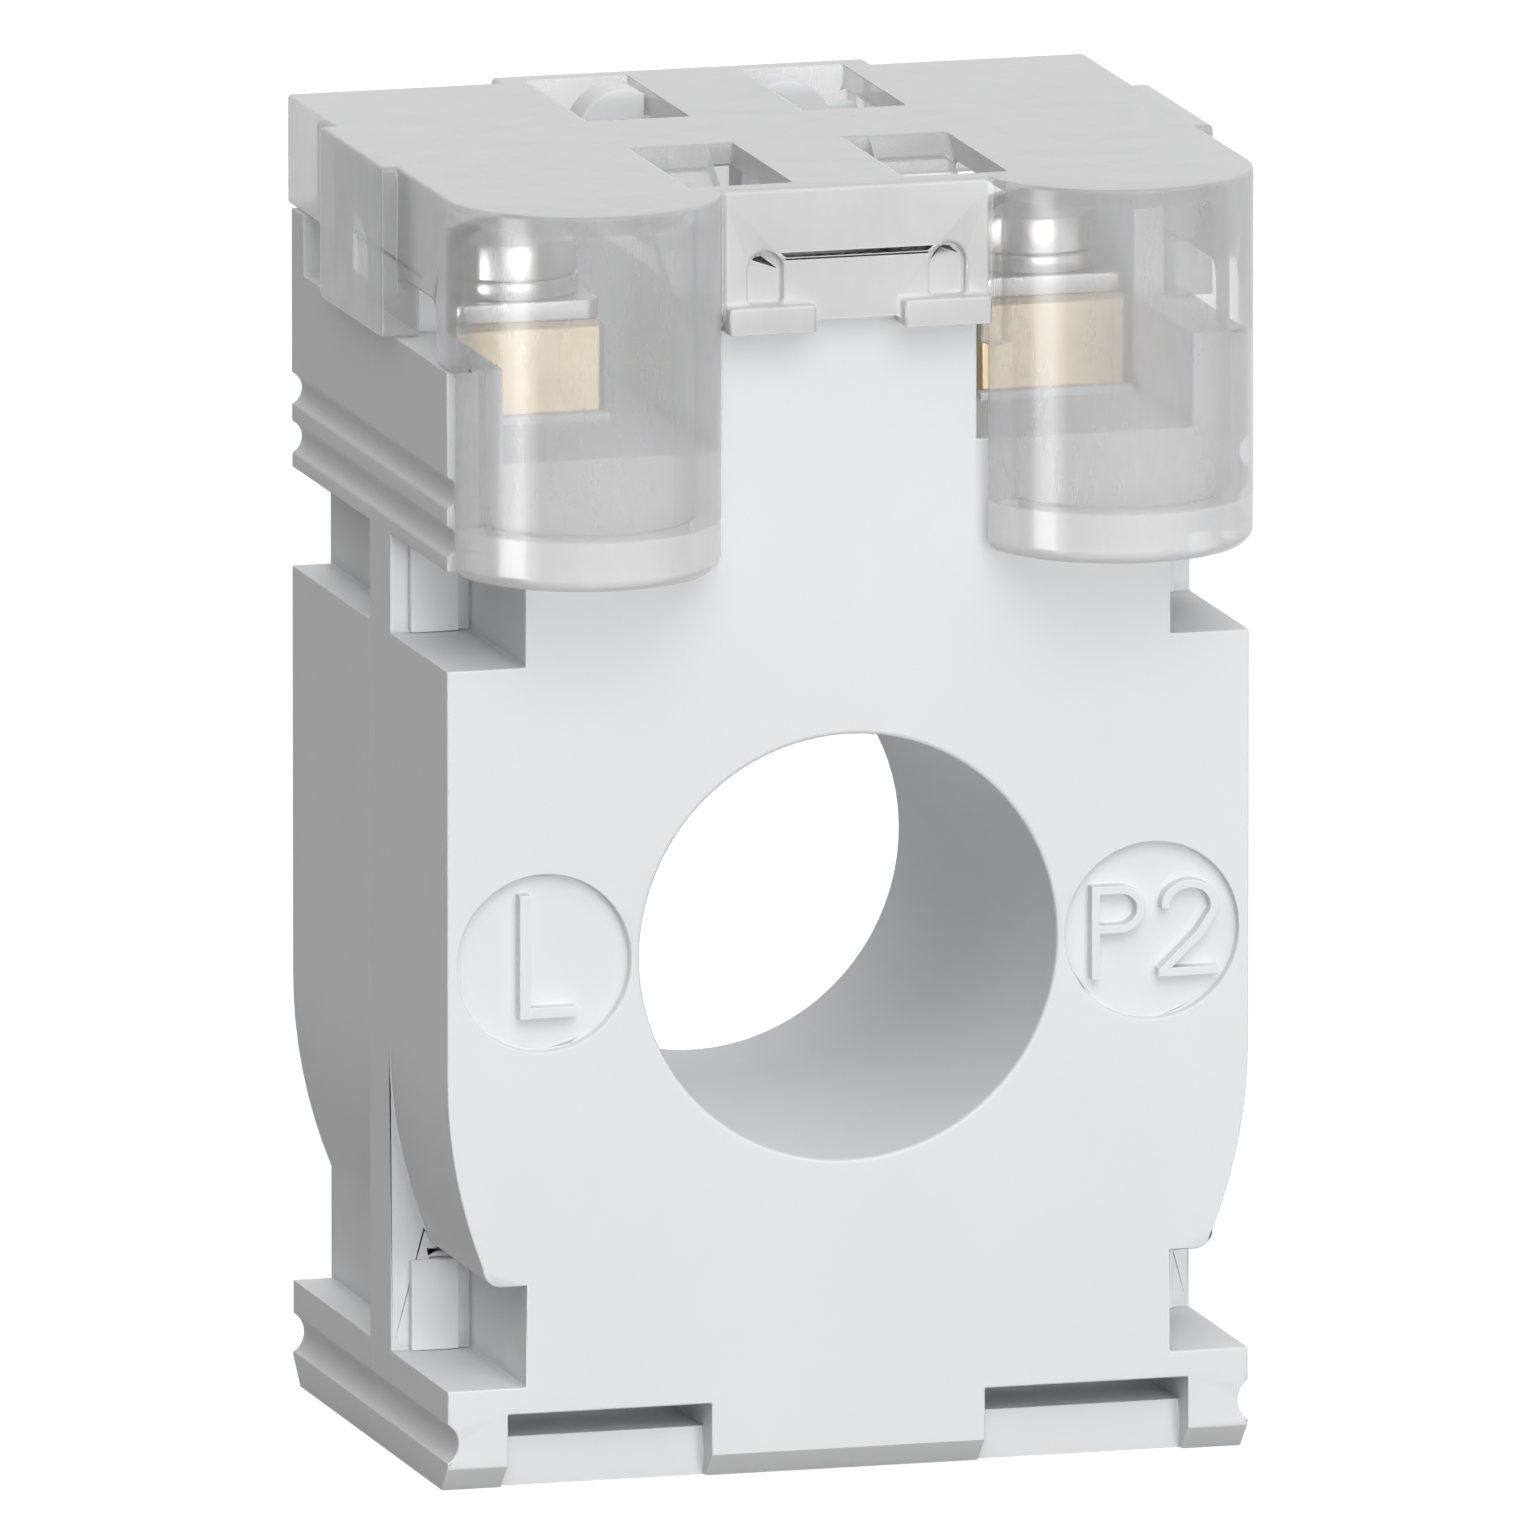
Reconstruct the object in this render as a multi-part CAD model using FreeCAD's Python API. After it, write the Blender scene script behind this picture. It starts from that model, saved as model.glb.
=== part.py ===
import FreeCAD, Part
import math
import os

Vector = FreeCAD.Vector

# Moulded ring-type current transformer for a 21 mm cable, in millimetres.
# X runs to the right, Y to the back and Z up. The mounting face is Z = 0, the cable runs along Y,
# and the two halves of the case meet at Y = 0.

# Case, widths and depths
case_width = 41.9
case_depth = 29.5
rib_depth = 3.95
side_wall = 1.65
end_wall = 1.6
front_notch_depth = 4.1
rear_notch_depth = 2.0

# Case, heights from the mounting face upwards
foot_height = 5.3
lower_notch_height = 5.2
barrel_height = 31.7
upper_notch_height = 5.1
deck_height = 5.4
tunnel_wall_height = 4.8
column_height = 7.1
barrel_bend_radius = 26.5
barrel_bend_height = 10.7
barrel_corner = 1.0

# Cable bore
bore_centre_height = 27.0
ring_space = 7.1
bore_tube_wall = 1.3
bore_edge = 0.15
spigot_thickness = 0.6
spigot_length = 1.2

# Grooves, slots and recesses in the case
foot_groove_height = 2.6
foot_groove_width = 2.0
foot_groove_depth = 0.55
deck_groove_heights = (1.55, 4.05)
deck_groove_width = 1.6
deck_groove_depth = 0.5
foot_chamfer = 1.3
foot_slot_inner = 7.15
foot_slot_side_wall = 3.15
foot_slot_height = 3.95
foot_slot_step_depth = 1.64
foot_slot_step_height = 2.5
foot_slot_reach = 7.0
mark_disc_radius = 4.55
mark_disc_inset = 5.05
mark_disc_depth = 0.6

# Snap hooks of the rear half that grip the rib of the front half
hook_inset = 3.45
hook_arm_width = 1.35
hook_head_width = 2.5
hook_head_proud = 0.5
hook_lower_height = 4.7

# Terminal tunnels and the column between them
column_half_width = 6.7
tunnel_side_wall = 2.95
column_wall = 1.5
column_floor = 0.8
post_thickness = 1.6
post_height = 6.9
window_height = 4.0
window_start = 5.2
window_end_wall = 0.45
window_corner = 2.1
corner_post_length = 2.2
lug_radius = 2.4
lug_thickness = 2.4
lug_back_gap = 0.3
lug_slot_gap = 0.15
lug_roof_gap = 0.2
cheek_gap = 0.25
cheek_thickness = 1.1
cheek_height = 7.2
cheek_base = 4.9
block_rib_height = 0.4
block_rib_thickness = 0.8

# Terminal cover
cover_wall = 1.2
cover_height = 13.6
cover_seat_gap = 0.1
cover_front_gap = 0.3
cover_rear_overhang = 0.85
cover_side_drop = 5.6
cover_front_return = 2.1
cover_corner = 1.0
shroud_radius = 7.05
shroud_inset = 7.05
shroud_centre_inset = 0.3
shroud_back_gap = 0.95
shroud_drop = 19.2
shroud_edge = 0.5
shroud_bead_height = 2.7
shroud_bead_thickness = 0.4
side_tab_proud = 0.8
side_tab_length = 11.8
side_tab_start = 9.4
front_tab_drop = 6.8
front_foot_inner = 2.3
front_foot_gap = 0.23
front_foot_height = 1.4
front_foot_proud = 0.8
front_foot_drop = 0.5
arch_inset = 1.38
arch_width = 1.9
arch_height = 2.7
arch_depth = 0.6
rear_tab_half_width = 9.8
rear_tab_proud = 1.6
front_slot_inner = 2.9
front_slot_width = 5.4
front_slot_start = 0.2
front_slot_length = 11.1
rear_slot_inner = 3.0
rear_slot_width = 5.35
rear_slot_reach = 10.5
tongue_width = 4.1
tongue_angle = 36.0
tongue_thickness = 1.1
tongue_tip = 0.2
tongue_end_gap = 0.3

# Terminals
terminal_inset = 7.23
block_width = 8.1
block_height = 5.0
block_chamfer = 0.35
screw_radius = 1.94
screw_length = 4.6
screw_clearance = 0.06
screw_head_radius = 3.5
screw_head_height = 2.7
screw_crown_height = 0.8
screw_crown_radius = 2.3
screw_tip_gap = 0.5
screw_rest_angle = 20.0
drive_width = 1.1
drive_depth = 1.3
drive_cross_length = 4.2
clamp_plate_width = 7.7
clamp_plate_thickness = 1.0
clamp_plate_corner = 0.7
spring_washer_radius = 3.6
spring_washer_thickness = 0.9
spring_washer_gap = 0.5
spring_washer_gap_angle = 35.0
stack_gap = 0.04
pin_radius = 0.7
pin_length = 3.1
pin_hole_radius = 1.0

# Wound ring
ring_radial_gap = 0.3
winding_build = 1.5
winding_gap = 0.1
winding_gap_angle = 28.0
wrap_thickness = 0.25
wrap_gap = 0.05
seat_rib_height = 1.0
seat_rib_width = 1.4
seat_rib_angles = (45, 135, 225, 315)
seat_gap = 0.05

# Leads
lead_radius = 0.6
lead_gap = 0.05
lead_duct_half_depth = 1.9
lead_duct_roof = 2.1
lead_duct_margin = 2.3

# How far fused pieces run into each other, and how far a cutting tool runs past a face
bite = 0.5
overrun = 1.0

# Places worked out from the sizes above
half_width = case_width / 2
half_depth = case_depth / 2
barrel_base = foot_height + lower_notch_height
shoulder_z = barrel_base + barrel_height
deck_base = shoulder_z + upper_notch_height
deck_z = deck_base + deck_height
ledge_z = deck_z + tunnel_wall_height
column_top = deck_z + column_height
cover_top = deck_z + cover_height
cover_side_low = cover_top - cover_side_drop
cover_front = -half_depth - cover_front_gap - cover_wall
cover_rear = half_depth + cover_rear_overhang
cavity_radius = half_width - side_wall
tube_radius = cavity_radius - ring_space
bore_radius = tube_radius - bore_tube_wall
cavity_end = half_depth - end_wall
tunnel_outer = half_width - tunnel_side_wall
terminal_offset = half_width - terminal_inset
shroud_offset = half_width - shroud_inset
shroud_y = -half_depth + shroud_centre_inset
lug_offset = column_half_width - lug_radius
big = 4 * case_width


def box(x0, x1, y0, y1, z0, z1):
    return Part.makeBox(x1 - x0, y1 - y0, z1 - z0, Vector(x0, y0, z0))


def rod_y(radius, y0, y1, x=0.0, z=bore_centre_height):
    return Part.makeCylinder(radius, y1 - y0, Vector(x, y0, z), Vector(0, 1, 0))


def rod_z(radius, z0, z1, x=0.0, y=0.0):
    return Part.makeCylinder(radius, z1 - z0, Vector(x, y, z0), Vector(0, 0, 1))


def tube_y(outer, inner, y0, y1):
    return rod_y(outer, y0, y1).cut(rod_y(inner, y0, y1))


def fused(shapes):
    whole = shapes[0]
    for shape in shapes[1:]:
        whole = whole.fuse(shape)
    return whole


def cut_all(shape, tools):
    for tool in tools:
        shape = shape.cut(tool)
    return shape


def mirrored(shape):
    return shape.mirror(Vector(0, 0, 0), Vector(1, 0, 0))


def both_sides(shape):
    return [shape, mirrored(shape)]


def prism(edges, direction):
    return Part.Face(Part.Wire(edges)).extrude(direction)


def polygon(points):
    return Part.makePolygon(points + points[:1]).Edges


def arc(start, middle, end):
    return Part.Arc(start, middle, end).toShape()


def line(start, end):
    return Part.LineSegment(start, end).toShape()


def barrel_side(z):
    """Half the width of the barrel at a height, where its lower sides bend inwards."""
    rise = barrel_base + barrel_bend_height - z
    return half_width - barrel_bend_radius + math.sqrt(barrel_bend_radius**2 - rise**2)


def barrel_side_height(x):
    """The height at which the barrel's bent side reaches a half width."""
    reach = barrel_bend_radius - (half_width - x)
    return barrel_base + barrel_bend_height - math.sqrt(barrel_bend_radius**2 - reach**2)


def half_outline(notch_depth):
    """Right half of the case in front view up to the terminal deck, with both side notches."""
    inner = half_width - notch_depth
    bend_top = barrel_base + barrel_bend_height
    corner_z = barrel_base + barrel_corner
    corner_x = barrel_side(corner_z)
    points = [(0, 0), (half_width, 0), (half_width, foot_height), (inner, foot_height)]
    if inner < corner_x - barrel_corner:
        start = (corner_x, corner_z)
        flat = [(inner, barrel_base), (corner_x - barrel_corner, barrel_base)]
        corner = (corner_x - barrel_corner * (1 - math.sin(math.radians(45))),
                  corner_z - barrel_corner * math.cos(math.radians(45)))
    else:
        start = (inner, barrel_side_height(inner))
        flat = []
        corner = None
    lower = [Vector(x, 0, z) for x, z in points + flat]
    begin = Vector(start[0], 0, start[1])
    end = Vector(half_width, 0, bend_top)
    middle_z = (start[1] + bend_top) / 2
    middle = Vector(barrel_side(middle_z), 0, middle_z)
    upper = [Vector(x, 0, z) for x, z in [
        (half_width, shoulder_z), (inner, shoulder_z), (inner, deck_base),
        (half_width, deck_base), (half_width, deck_z), (0, deck_z)]]
    edges = [line(a, b) for a, b in zip(lower, lower[1:])]
    if corner:
        edges.append(arc(lower[-1], Vector(corner[0], 0, corner[1]), begin))
    else:
        edges.append(line(lower[-1], begin))
    edges.append(arc(begin, middle, end))
    stops = [end] + upper + [lower[0]]
    edges += [line(a, b) for a, b in zip(stops, stops[1:])]
    return edges


def case_slab(notch_depth, y0, y1):
    edges = [edge.translated(Vector(0, y0, 0)) for edge in half_outline(notch_depth)]
    half = prism(edges, Vector(0, y1 - y0, 0))
    return fused(both_sides(half))


def side_groove(z, width, depth):
    """A round-bottomed groove along the side of the case."""
    radius = ((width / 2) ** 2 + depth**2) / (2 * depth)
    return both_sides(rod_y(radius, -case_depth, case_depth, half_width - depth + radius, z))


def grooves():
    tools = side_groove(foot_groove_height, foot_groove_width, foot_groove_depth)
    for height in deck_groove_heights:
        tools += side_groove(deck_base + height, deck_groove_width, deck_groove_depth)
    return tools


def foot_slots(face_y, inward):
    """The two slots in the lower edge of an end wall, each with a step left inside."""
    tools = []
    outer = half_width - foot_slot_side_wall
    for depth, z0 in ((foot_slot_step_depth, -overrun), (foot_slot_reach, foot_slot_step_height)):
        low, high = sorted((face_y - inward * overrun, face_y + inward * depth))
        tools += both_sides(box(foot_slot_inner, outer, low, high, z0, foot_slot_height))
    return tools


def foot_edge(face_y, inward):
    """The chamfer along the lower edge of an end wall."""
    far = face_y + inward * (foot_chamfer + overrun)
    near = face_y - inward * overrun
    corner = [Vector(-big, near, -overrun), Vector(-big, near, foot_chamfer + overrun),
              Vector(-big, far, -overrun)]
    return prism(polygon(corner), Vector(2 * big, 0, 0))


def mark_discs(face_y, inward):
    """The round recesses that carry the polarity marks."""
    low, high = sorted((face_y - inward * overrun, face_y + inward * mark_disc_depth))
    return both_sides(rod_y(mark_disc_radius, low, high, half_width - mark_disc_inset))


def lead_duct(y0, y1):
    """The space above the wound ring where both leads run to the terminals."""
    reach = terminal_offset + lead_duct_margin
    base = bore_centre_height + math.sqrt(cavity_radius**2 - reach**2 / 4)
    return box(-reach, reach, y0, y1, base, deck_z - lead_duct_roof)


def tunnel_sides(y0, y1):
    return both_sides(box(tunnel_outer, half_width, y0, y1, deck_z, ledge_z))


def column(y0, y1):
    """The hollow column between the tunnels, open at its top."""
    outer = box(-column_half_width, column_half_width, y0, y1, deck_z, column_top)
    inner_half = column_half_width - column_wall
    pocket = box(-inner_half, inner_half, y0 + column_wall, y1 - column_wall,
                 deck_z + column_floor, column_top + overrun)
    return outer.cut(pocket)


def block_ribs(sign):
    """A low rib that keeps a terminal block from sliding along its tunnel."""
    near = block_width / 2 + 2 * stack_gap
    low, high = sorted((sign * near, sign * (near + block_rib_thickness)))
    x0, x1 = terminal_offset - block_width / 2, terminal_offset + block_width / 2
    return both_sides(box(x0, x1, low, high, deck_z, deck_z + block_rib_height))


def pin_holes():
    return both_sides(rod_z(pin_hole_radius, deck_z - lead_duct_roof - overrun, deck_z + overrun,
                            terminal_offset))


def hook_levels():
    lower = (foot_height, foot_height + hook_lower_height)
    return [lower, (shoulder_z, deck_base)]


def seat_ribs(floor_y, inward):
    """Radial ribs on an end wall that the wound ring rests against."""
    low, high = sorted((floor_y - inward * bite, floor_y + inward * seat_rib_height))
    ribs = []
    for angle in seat_rib_angles:
        rib = box(tube_radius - bite, cavity_radius + bite, low, high,
                  -seat_rib_width / 2, seat_rib_width / 2)
        rib.rotate(Vector(0, 0, 0), Vector(0, 1, 0), angle)
        rib.translate(Vector(0, 0, bore_centre_height))
        ribs.append(rib)
    return ribs


def front_case():
    barrel = case_slab(front_notch_depth, -half_depth, -rib_depth)
    rib = box(-half_width, half_width, -rib_depth, 0, 0, deck_z)
    posts = both_sides(box(tunnel_outer, tunnel_outer + post_thickness, -rib_depth, 0,
                           ledge_z, ledge_z + post_height))
    case = fused([barrel, rib] + tunnel_sides(-half_depth, 0) + [column(-half_depth, 0)]
                 + block_ribs(-1) + posts)
    cavity = tube_y(cavity_radius, tube_radius, -cavity_end, 0)
    hook_inner = half_width - hook_inset
    slots = []
    for z0, z1 in hook_levels():
        slots += both_sides(box(hook_inner - stack_gap, hook_inner + hook_arm_width + stack_gap,
                                -rib_depth - overrun, overrun, z0, z1))
    case = cut_all(case, [cavity, foot_edge(-half_depth, 1)] + pin_holes() + grooves()
                   + foot_slots(-half_depth, 1) + slots)
    tube = rod_y(tube_radius, -half_depth, half_depth)
    spigot = tube_y(cavity_radius + spigot_thickness, cavity_radius, -bite, spigot_length)
    duct = lead_duct(-lead_duct_half_depth, spigot_length + overrun)
    case = fused([case, tube, spigot] + seat_ribs(-cavity_end, 1)).cut(duct)
    bore = rod_y(bore_radius, -case_depth, case_depth)
    mouth = Part.makeCone(bore_radius + 2 * bore_edge, bore_radius, 2 * bore_edge,
                          Vector(0, -half_depth - bore_edge, bore_centre_height), Vector(0, 1, 0))
    back_mouth = Part.makeCone(bore_radius, bore_radius + 2 * bore_edge, 2 * bore_edge,
                               Vector(0, half_depth - bore_edge, bore_centre_height), Vector(0, 1, 0))
    recesses = mark_discs(-half_depth, 1) + mark_discs(half_depth, -1)
    return cut_all(case, [bore, mouth, back_mouth] + recesses).removeSplitter()


def rounded_gap(y0, y1, z1, corner):
    """A gap through a side wall, open below, with its upper corners rounded."""
    opening = box(0, big, y0, y1, deck_z, z1)
    tops = [edge for edge in opening.Edges
            if edge.BoundBox.ZMin > z1 - corner and edge.BoundBox.YLength < corner]
    return opening.makeFillet(corner, tops)


def rear_lug():
    """A round-topped lug that stands up into a rear slot of the cover, flush with the column."""
    y1 = half_depth - lug_back_gap
    y0 = y1 - lug_thickness
    spring = cover_top - lug_radius
    post = box(lug_offset - lug_radius, lug_offset + lug_radius, y0, y1, column_top, spring)
    lug = post.fuse(rod_y(lug_radius, y0, y1, lug_offset, spring))
    under_cover = box(-big, rear_slot_inner + lug_slot_gap, y0, y1,
                      cover_top - cover_wall - lug_roof_gap, big)
    return lug.cut(under_cover).removeSplitter()


def rear_cheek():
    y1 = half_depth - lug_back_gap
    x1 = rear_tab_half_width - cover_wall - cheek_gap
    base = deck_z + cheek_base
    return box(column_half_width - bite, x1, y1 - cheek_thickness, y1, base, base + cheek_height)


def rear_case():
    barrel = case_slab(rear_notch_depth, 0, half_depth)
    wall_end = cover_rear - cover_wall - cover_front_gap
    wall = box(tunnel_outer, tunnel_outer + post_thickness, 0, wall_end, ledge_z, ledge_z + post_height)
    walls = both_sides(wall.cut(rounded_gap(window_start, wall_end - window_end_wall,
                                            ledge_z + window_height, window_corner)))
    corner_post = box(half_width - post_thickness, half_width, half_depth - corner_post_length, half_depth,
                      ledge_z, cover_side_low - cover_seat_gap)
    case = fused([barrel] + tunnel_sides(0, half_depth) + [column(0, half_depth)]
                 + block_ribs(1) + walls + both_sides(corner_post) + both_sides(rear_lug())
                 + both_sides(rear_cheek()))
    cavity = rod_y(cavity_radius, 0, cavity_end)
    tube_hole = rod_y(tube_radius + stack_gap, -overrun, half_depth + overrun)
    rebate = rod_y(cavity_radius + spigot_thickness + stack_gap, -overrun,
                   spigot_length + 2 * stack_gap)
    case = cut_all(case, [cavity, rebate, lead_duct(0, lead_duct_half_depth)])
    case = fused([case] + seat_ribs(cavity_end, -1))
    case = cut_all(case, [tube_hole, foot_edge(half_depth, -1)] + pin_holes() + grooves()
                   + foot_slots(half_depth, -1) + mark_discs(half_depth, -1))
    hook_inner = half_width - hook_inset
    hooks = []
    for z0, z1 in hook_levels():
        arm = box(hook_inner, hook_inner + hook_arm_width, -rib_depth - hook_head_proud, bite,
                  z0 + stack_gap, z1 - stack_gap)
        head = box(hook_inner, hook_inner + hook_head_width, -rib_depth - hook_head_proud,
                   -rib_depth - stack_gap, z0 + stack_gap, z1 - stack_gap)
        hooks += both_sides(arm.fuse(head))
    return fused([case] + hooks).removeSplitter()


def shroud():
    """One round shroud in front of a terminal, open below, with a bead inside its lower edge."""
    inner = shroud_radius - cover_wall
    base = cover_top - shroud_drop
    shell = rod_z(shroud_radius, base, cover_top, shroud_offset, shroud_y)
    rim = [edge for edge in shell.Edges if edge.BoundBox.ZMax < base + shroud_edge]
    shell = shell.makeChamfer(shroud_edge, rim)
    hollow = rod_z(inner, base + shroud_bead_height, cover_top - cover_wall, shroud_offset, shroud_y)
    mouth = rod_z(inner - shroud_bead_thickness, base - overrun, cover_top - cover_wall,
                  shroud_offset, shroud_y)
    below = box(0, big, -half_depth - shroud_back_gap, big, base - overrun, ledge_z + cover_seat_gap)
    behind = box(0, big, shroud_y, big, base - overrun, cover_top + overrun)
    return cut_all(shell, [hollow, mouth, below, behind])


def front_tab_half_width():
    """Where the cover's flat front meets the round shrouds."""
    back = shroud_centre_inset + cover_wall + cover_front_gap
    return shroud_offset - math.sqrt(shroud_radius**2 - back**2)


def tongue():
    """The sloping snap tongue that hangs from the rear edge of a front slot."""
    y1 = -half_depth + front_slot_start + front_slot_length
    slope = math.tan(math.radians(tongue_angle))
    drop = tongue_thickness / math.cos(math.radians(tongue_angle))
    low = column_top + tongue_end_gap
    tip_y = y1 - (cover_top - low - tongue_tip) / slope
    under_y = y1 - (cover_top - drop - low) / slope
    x0 = front_slot_inner + front_slot_width - tongue_width
    points = [Vector(x0, y1, cover_top), Vector(x0, tip_y, low + tongue_tip), Vector(x0, tip_y, low),
              Vector(x0, under_y, low), Vector(x0, y1, cover_top - drop)]
    return prism(polygon(points), Vector(tongue_width, 0, 0))


def arch_recess():
    radius = arch_width / 2
    outer = front_tab_half_width() - arch_inset
    base = cover_top - front_tab_drop + front_foot_height - front_foot_drop
    top = base + arch_height - radius
    y0, y1 = cover_front - overrun, cover_front + arch_depth
    flat = box(outer - arch_width, outer, y0, y1, base, top)
    return flat.fuse(rod_y(radius, y0, y1, outer - radius, top))


def terminal_cover():
    inner = half_width - cover_wall
    roof = cover_top - cover_wall
    seat = ledge_z + cover_seat_gap
    plate = box(-half_width, half_width, shroud_y, cover_rear, roof, cover_top)
    tab_y = -half_depth + side_tab_start
    tab_end = tab_y + side_tab_length
    side = box(inner, half_width, shroud_y, cover_rear, seat, cover_top)
    side = side.cut(rounded_gap(-half_depth + cover_front_return, tab_y, cover_side_low, cover_corner))
    side = side.cut(rounded_gap(tab_end, big, cover_side_low, cover_corner))
    tab = box(inner, half_width + side_tab_proud, tab_y, tab_end, seat, cover_top)
    rear = box(rear_tab_half_width - cover_wall, half_width, cover_rear - cover_wall, cover_rear,
               cover_side_low, cover_top)
    tab_low = cover_top - front_tab_drop
    join = front_tab_half_width()
    front = box(-join - bite, join + bite, cover_front, cover_front + cover_wall, tab_low, cover_top)
    front_plate = box(-join - bite, join + bite, cover_front, shroud_y + bite, roof, cover_top)
    foot_low = tab_low - front_foot_drop
    foot = box(front_foot_inner, join - front_foot_gap, cover_front - front_foot_proud,
               cover_front + cover_wall, foot_low, foot_low + front_foot_height)
    back_tab_y = cover_rear + rear_tab_proud
    back_tab = box(-rear_tab_half_width, rear_tab_half_width, back_tab_y - cover_wall, back_tab_y,
                   tab_low, cover_top)
    back_plate = box(-rear_tab_half_width, rear_tab_half_width, cover_rear - bite, back_tab_y,
                     roof, cover_top)
    back_side = box(rear_tab_half_width - cover_wall, rear_tab_half_width, cover_rear - cover_wall,
                    back_tab_y, cover_side_low, cover_top)
    cover = fused([plate, front, front_plate, back_tab, back_plate] + both_sides(side)
                  + both_sides(tab) + both_sides(rear) + both_sides(foot) + both_sides(back_side)
                  + both_sides(shroud()))
    slot_y = -half_depth + front_slot_start
    front_slot = box(front_slot_inner, front_slot_inner + front_slot_width, slot_y,
                     slot_y + front_slot_length, roof - overrun, cover_top + overrun)
    rear_slot = box(rear_slot_inner, rear_slot_inner + rear_slot_width, half_depth - rear_slot_reach,
                    back_tab_y - cover_wall, roof - overrun, cover_top + overrun)
    cover = cut_all(cover, both_sides(front_slot) + both_sides(rear_slot) + both_sides(arch_recess()))
    return fused([cover] + both_sides(tongue())).removeSplitter()


def terminal_block(x):
    half = block_width / 2
    block = box(x - half, x + half, -half, half, deck_z, deck_z + block_height)
    block = block.makeChamfer(block_chamfer, block.Edges)
    hole = rod_z(screw_radius + screw_clearance, deck_z + block_height - screw_length,
                 deck_z + block_height + overrun, x)
    pin = rod_z(pin_radius, deck_z - pin_length, deck_z + bite, x)
    return block.fuse(pin).cut(hole)


clamp_base = deck_z + block_height + stack_gap
clamp_top = clamp_base + clamp_plate_thickness
washer_top = clamp_top + stack_gap + spring_washer_thickness
head_base = washer_top + stack_gap


def clamp_plate(x):
    """A square plate with rounded corners under the spring washer."""
    half = clamp_plate_width / 2
    plate = box(x - half, x + half, -half, half, clamp_base, clamp_top)
    corners = [edge for edge in plate.Edges
               if abs(edge.Vertexes[0].Z - edge.Vertexes[1].Z) > clamp_plate_thickness / 2]
    plate = plate.makeFillet(clamp_plate_corner, corners)
    return plate.cut(rod_z(screw_radius + screw_clearance, clamp_base - overrun, clamp_top + overrun, x))


def spring_washer(x):
    """A split ring."""
    base = clamp_top + stack_gap
    ring = rod_z(spring_washer_radius, base, washer_top, x)
    ring = ring.cut(rod_z(screw_radius + screw_clearance, base - overrun, washer_top + overrun, x))
    gap = box(-spring_washer_gap / 2, spring_washer_gap / 2, 0, 2 * spring_washer_radius,
              base - overrun, washer_top + overrun)
    gap.rotate(Vector(0, 0, 0), Vector(0, 0, 1), spring_washer_gap_angle)
    gap.translate(Vector(x, 0, 0))
    return ring.cut(gap)


def terminal_screw(x):
    """A screw whose raised head has a slot and a cross, turned a little from square."""
    rim = screw_head_height - screw_crown_height
    profile = [Vector(0, 0, 0), Vector(screw_head_radius, 0, 0), Vector(screw_head_radius, 0, rim),
               Vector(screw_crown_radius, 0, screw_head_height), Vector(0, 0, screw_head_height)]
    head = Part.Face(Part.Wire(polygon(profile))).revolve(Vector(0, 0, 0), Vector(0, 0, 1), 360)
    drive_z = screw_head_height - drive_depth
    slot = box(-big, big, -drive_width / 2, drive_width / 2, drive_z, big)
    cross = box(-drive_width / 2, drive_width / 2, -drive_cross_length / 2, drive_cross_length / 2,
                drive_z, big)
    hole_floor = deck_z + block_height - screw_length
    shank = rod_z(screw_radius, hole_floor + screw_tip_gap - head_base, rim / 2)
    screw = cut_all(head, [slot, cross]).fuse(shank)
    screw.rotate(Vector(0, 0, 0), Vector(0, 0, 1), screw_rest_angle)
    screw.translate(Vector(x, 0, head_base))
    return screw


# Radii and lengths of the wound ring, from the tube outwards
winding_inner = tube_radius + ring_radial_gap
winding_outer = cavity_radius - ring_radial_gap - wrap_thickness - wrap_gap
winding_end = cavity_end - seat_rib_height - seat_gap
core_inner = winding_inner + winding_build + winding_gap
core_outer = winding_outer - winding_build - winding_gap
core_end = winding_end - winding_build - winding_gap


def ring_section(inner, outer, half_length, angle=360.0, start=0.0):
    """A ring round the bore with a rectangular section, or the part of one that an angle covers."""
    corners = [Vector(inner, -half_length, 0), Vector(outer, -half_length, 0),
               Vector(outer, half_length, 0), Vector(inner, half_length, 0)]
    face = Part.Face(Part.Wire(polygon(corners)))
    ring = face.revolve(Vector(0, 0, 0), Vector(0, 1, 0), angle)
    ring.rotate(Vector(0, 0, 0), Vector(0, 1, 0), start)
    ring.translate(Vector(0, 0, bore_centre_height))
    return ring


def open_ring(inner, outer, half_length):
    """A ring with a gap at its top, where the leads come off."""
    return ring_section(inner, outer, half_length, 360.0 - winding_gap_angle,
                        winding_gap_angle / 2 - 90.0)


def secondary_winding():
    outside = open_ring(winding_inner, winding_outer, winding_end)
    return outside.cut(ring_section(core_inner - winding_gap, core_outer + winding_gap,
                                    core_end + winding_gap))


def winding_wrap():
    inner = winding_outer + wrap_gap
    return open_ring(inner, inner + wrap_thickness, winding_end)


def lead_wire(side):
    """A lead stretched from an end of the winding to the lower end of the block's pin."""
    angle = math.radians(winding_gap_angle / 2)
    start = Vector(cavity_radius * math.sin(angle) - lead_radius, 0,
                   bore_centre_height + cavity_radius * math.cos(angle) + lead_radius + lead_gap)
    end = Vector(terminal_offset + pin_radius, 0, deck_z - pin_length - lead_radius - lead_gap)
    run = end - start
    wire = Part.makeCylinder(lead_radius, run.Length, start, run)
    return wire if side > 0 else mirrored(wire)


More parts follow.
